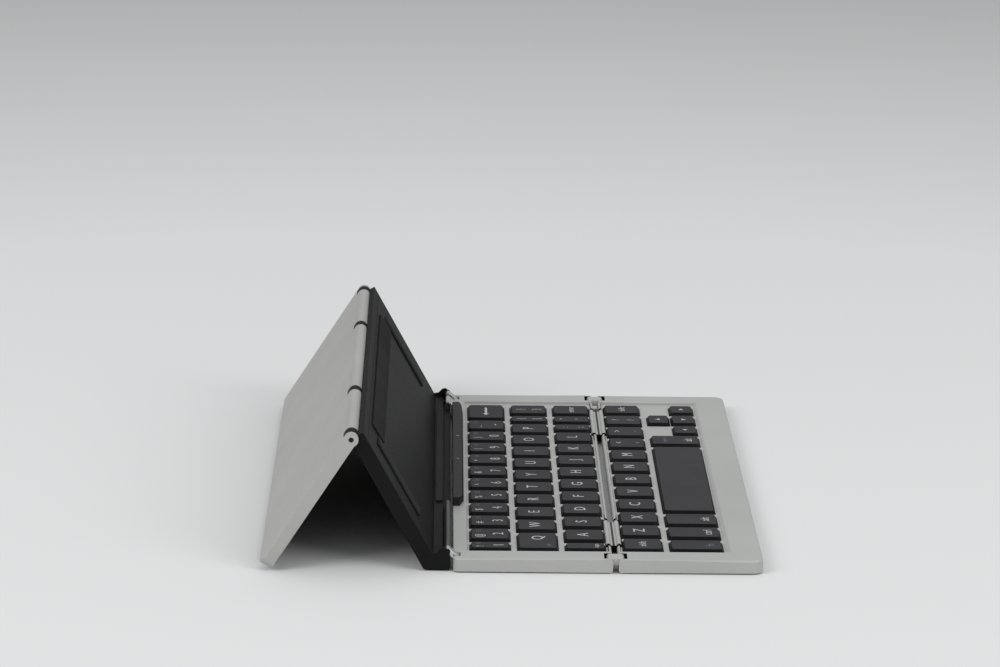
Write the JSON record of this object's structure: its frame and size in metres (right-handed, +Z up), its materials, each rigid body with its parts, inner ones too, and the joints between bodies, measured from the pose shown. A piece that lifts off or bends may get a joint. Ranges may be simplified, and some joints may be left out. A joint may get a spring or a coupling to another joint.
{
  "type": "folding keyboard",
  "caption": "Compact folding keyboard open on a table, its two hinged key panels flat and its leaning tablet stand propped on a fold-out rear leg.",
  "frame": {"origin": "on the table, under the middle of the open keyboard's bounding box", "axes": "+X from the user's left to right along the keys, +Y away from the user, +Z up"},
  "size_m": [0.224, 0.1736, 0.0495],
  "materials": {
    "silver_case": "moulded plastic, silver paint, satin",
    "silver_leg": "silver paint, satin",
    "case_cover": "silver paint, satin",
    "hinge_metal": "satin",
    "pin_steel": "polished",
    "screw_steel": "dark satin",
    "wire_steel": "satin",
    "support_sheet": "plain",
    "membrane_film": "film",
    "dome_rubber": "matt",
    "scissor_plastic": "moulded",
    "board_green": "circuit board",
    "port_metal": "satin",
    "bar_black": "satin",
    "light_lens": "unlit lens",
    "foot_rubber": "matt",
    "cable_orange": "film",
    "cell_grey": "pouch foil",
    "magnet_nickel": "nickel plate",
    "stand_black": "fine texture",
    "cover_black": "soft-touch",
    "stiffener_steel": "plain sheet",
    "grip_rubber": "fine texture",
    "liner_black": "felt",
    "key_plastic": "fine texture"
  },
  "bodies": {
    "rear_keyboard": {"rear_deck": "silver_case", "rear_bottom_cover": "case_cover", "rear_support_plate": "support_sheet", "rear_membrane": "membrane_film", "rear_domes": "dome_rubber", "rear_scissors": "scissor_plastic", "main_board": "board_green", "charge_port": "port_metal", "tablet_bar": "bar_black", "indicator_lights": "light_lens", "rear_feet": "foot_rubber", "rear_screws": "screw_steel", "rear_hinge_pins": "pin_steel"},
    "fold_link": {"fold_end_links": "hinge_metal", "fold_hinge_blocks": "hinge_metal", "flex_cable": "cable_orange"},
    "front_keyboard": {"front_deck": "silver_case", "front_bottom_cover": "case_cover", "front_support_plate": "support_sheet", "front_membrane": "membrane_film", "front_domes": "dome_rubber", "front_scissors": "scissor_plastic", "space_bar_wire": "wire_steel", "battery": "cell_grey", "palm_magnets": "magnet_nickel", "front_feet": "foot_rubber", "front_screws": "screw_steel", "front_hinge_pins": "pin_steel"},
    "stand_link": {"stand_links": "hinge_metal"},
    "stand_plate": {"stand_body": "stand_black", "stand_front_cover": "cover_black", "stand_stiffener": "stiffener_steel", "stand_magnets": "magnet_nickel", "stand_hinge_strip": "hinge_metal", "tablet_grip": "grip_rubber", "tablet_rest_pad": "grip_rubber", "stand_foot_pads": "foot_rubber", "stand_hinge_pins": "pin_steel"},
    "leg": {"leg_shell": "silver_leg", "leg_liner": "liner_black", "leg_foot": "foot_rubber"},
    "number_keys_body": {"number_keys": "key_plastic"},
    "backspace_key_body": {"backspace_key": "key_plastic"},
    "top_row_keys_body": {"top_row_keys": "key_plastic"},
    "caps_key_body": {"caps_key": "key_plastic"},
    "home_row_keys_body": {"home_row_keys": "key_plastic"},
    "enter_key_body": {"enter_key": "key_plastic"},
    "left_shift_key_body": {"left_shift_key": "key_plastic"},
    "bottom_row_keys_body": {"bottom_row_keys": "key_plastic"},
    "right_shift_key_body": {"right_shift_key": "key_plastic"},
    "fn_key_body": {"fn_key": "key_plastic"},
    "control_key_body": {"control_key": "key_plastic"},
    "alt_key_body": {"alt_key": "key_plastic"},
    "space_bar_body": {"space_bar": "key_plastic"},
    "right_alt_key_body": {"right_alt_key": "key_plastic"},
    "left_arrow_key_body": {"left_arrow_key": "key_plastic"},
    "up_arrow_key_body": {"up_arrow_key": "key_plastic"},
    "down_arrow_key_body": {"down_arrow_key": "key_plastic"},
    "right_arrow_key_body": {"right_arrow_key": "key_plastic"}
  },
  "joints": [
    {"name": "fold_rear_hinge", "type": "hinge", "parent": "rear_keyboard", "child": "fold_link", "pos_m": [0, -0.03395, 0.004], "axis": [-1, 0, 0], "range_deg": [0, 90]},
    {"name": "fold_front_hinge", "type": "hinge", "parent": "fold_link", "child": "front_keyboard", "pos_m": [0, -0.03775, 0.004], "axis": [-1, 0, 0], "range_deg": [0, 90]},
    {"name": "stand_lower_hinge", "type": "hinge", "parent": "rear_keyboard", "child": "stand_link", "pos_m": [0, 0.01879, 0.004], "axis": [1, 0, 0], "range_deg": [0, 50]},
    {"name": "stand_upper_hinge", "type": "hinge", "parent": "stand_link", "child": "stand_plate", "pos_m": [0, 0.02211, 0.00678], "axis": [1, 0, 0], "range_deg": [0, 69]},
    {"name": "leg_hinge", "type": "hinge", "parent": "stand_plate", "child": "leg", "pos_m": [0, 0.05538, 0.047], "axis": [-1, 0, 0], "range_deg": [0, 61.8]},
    {"name": "number_keys_press", "type": "slide", "parent": "rear_keyboard", "child": "number_keys_body", "axis": [0, 0, -1], "range_m": [0, 0.001], "stiffness_N_per_m": 250, "springref_m": -0.00023},
    {"name": "backspace_key_press", "type": "slide", "parent": "rear_keyboard", "child": "backspace_key_body", "axis": [0, 0, -1], "range_m": [0, 0.001], "stiffness_N_per_m": 250, "springref_m": -0.00003},
    {"name": "top_row_keys_press", "type": "slide", "parent": "rear_keyboard", "child": "top_row_keys_body", "axis": [0, 0, -1], "range_m": [0, 0.001], "stiffness_N_per_m": 250, "springref_m": -0.00026},
    {"name": "caps_key_press", "type": "slide", "parent": "rear_keyboard", "child": "caps_key_body", "axis": [0, 0, -1], "range_m": [0, 0.001], "stiffness_N_per_m": 250, "springref_m": -0.00001},
    {"name": "home_row_keys_press", "type": "slide", "parent": "rear_keyboard", "child": "home_row_keys_body", "axis": [0, 0, -1], "range_m": [0, 0.001], "stiffness_N_per_m": 250, "springref_m": -0.00023},
    {"name": "enter_key_press", "type": "slide", "parent": "rear_keyboard", "child": "enter_key_body", "axis": [0, 0, -1], "range_m": [0, 0.001], "stiffness_N_per_m": 250, "springref_m": -0.00002},
    {"name": "left_shift_key_press", "type": "slide", "parent": "front_keyboard", "child": "left_shift_key_body", "axis": [0, 0, -1], "range_m": [0, 0.001], "stiffness_N_per_m": 250, "springref_m": -0.00002},
    {"name": "bottom_row_keys_press", "type": "slide", "parent": "front_keyboard", "child": "bottom_row_keys_body", "axis": [0, 0, -1], "range_m": [0, 0.001], "stiffness_N_per_m": 250, "springref_m": -0.00022},
    {"name": "right_shift_key_press", "type": "slide", "parent": "front_keyboard", "child": "right_shift_key_body", "axis": [0, 0, -1], "range_m": [0, 0.001], "stiffness_N_per_m": 250, "springref_m": -0.00002},
    {"name": "fn_key_press", "type": "slide", "parent": "front_keyboard", "child": "fn_key_body", "axis": [0, 0, -1], "range_m": [0, 0.001], "stiffness_N_per_m": 250, "springref_m": -0.00003},
    {"name": "control_key_press", "type": "slide", "parent": "front_keyboard", "child": "control_key_body", "axis": [0, 0, -1], "range_m": [0, 0.001], "stiffness_N_per_m": 250, "springref_m": -0.00003},
    {"name": "alt_key_press", "type": "slide", "parent": "front_keyboard", "child": "alt_key_body", "axis": [0, 0, -1], "range_m": [0, 0.001], "stiffness_N_per_m": 250, "springref_m": -0.00003},
    {"name": "space_bar_press", "type": "slide", "parent": "front_keyboard", "child": "space_bar_body", "axis": [0, 0, -1], "range_m": [0, 0.001], "stiffness_N_per_m": 250, "springref_m": -0.00016},
    {"name": "right_alt_key_press", "type": "slide", "parent": "front_keyboard", "child": "right_alt_key_body", "axis": [0, 0, -1], "range_m": [0, 0.001], "stiffness_N_per_m": 250, "springref_m": -0.00003},
    {"name": "left_arrow_key_press", "type": "slide", "parent": "front_keyboard", "child": "left_arrow_key_body", "axis": [0, 0, -1], "range_m": [0, 0.001], "stiffness_N_per_m": 250, "springref_m": -0.00001},
    {"name": "up_arrow_key_press", "type": "slide", "parent": "front_keyboard", "child": "up_arrow_key_body", "axis": [0, 0, -1], "range_m": [0, 0.001], "stiffness_N_per_m": 250, "springref_m": -0.00001},
    {"name": "down_arrow_key_press", "type": "slide", "parent": "front_keyboard", "child": "down_arrow_key_body", "axis": [0, 0, -1], "range_m": [0, 0.001], "stiffness_N_per_m": 250, "springref_m": -0.00001},
    {"name": "right_arrow_key_press", "type": "slide", "parent": "front_keyboard", "child": "right_arrow_key_body", "axis": [0, 0, -1], "range_m": [0, 0.001], "stiffness_N_per_m": 250, "springref_m": -0.00001}
  ],
  "couplings": [
    {"joint": "fold_front_hinge", "follows": "fold_rear_hinge", "ratio": 1},
    {"joint": "stand_upper_hinge", "follows": "stand_lower_hinge", "ratio": 1.38}
  ]
}
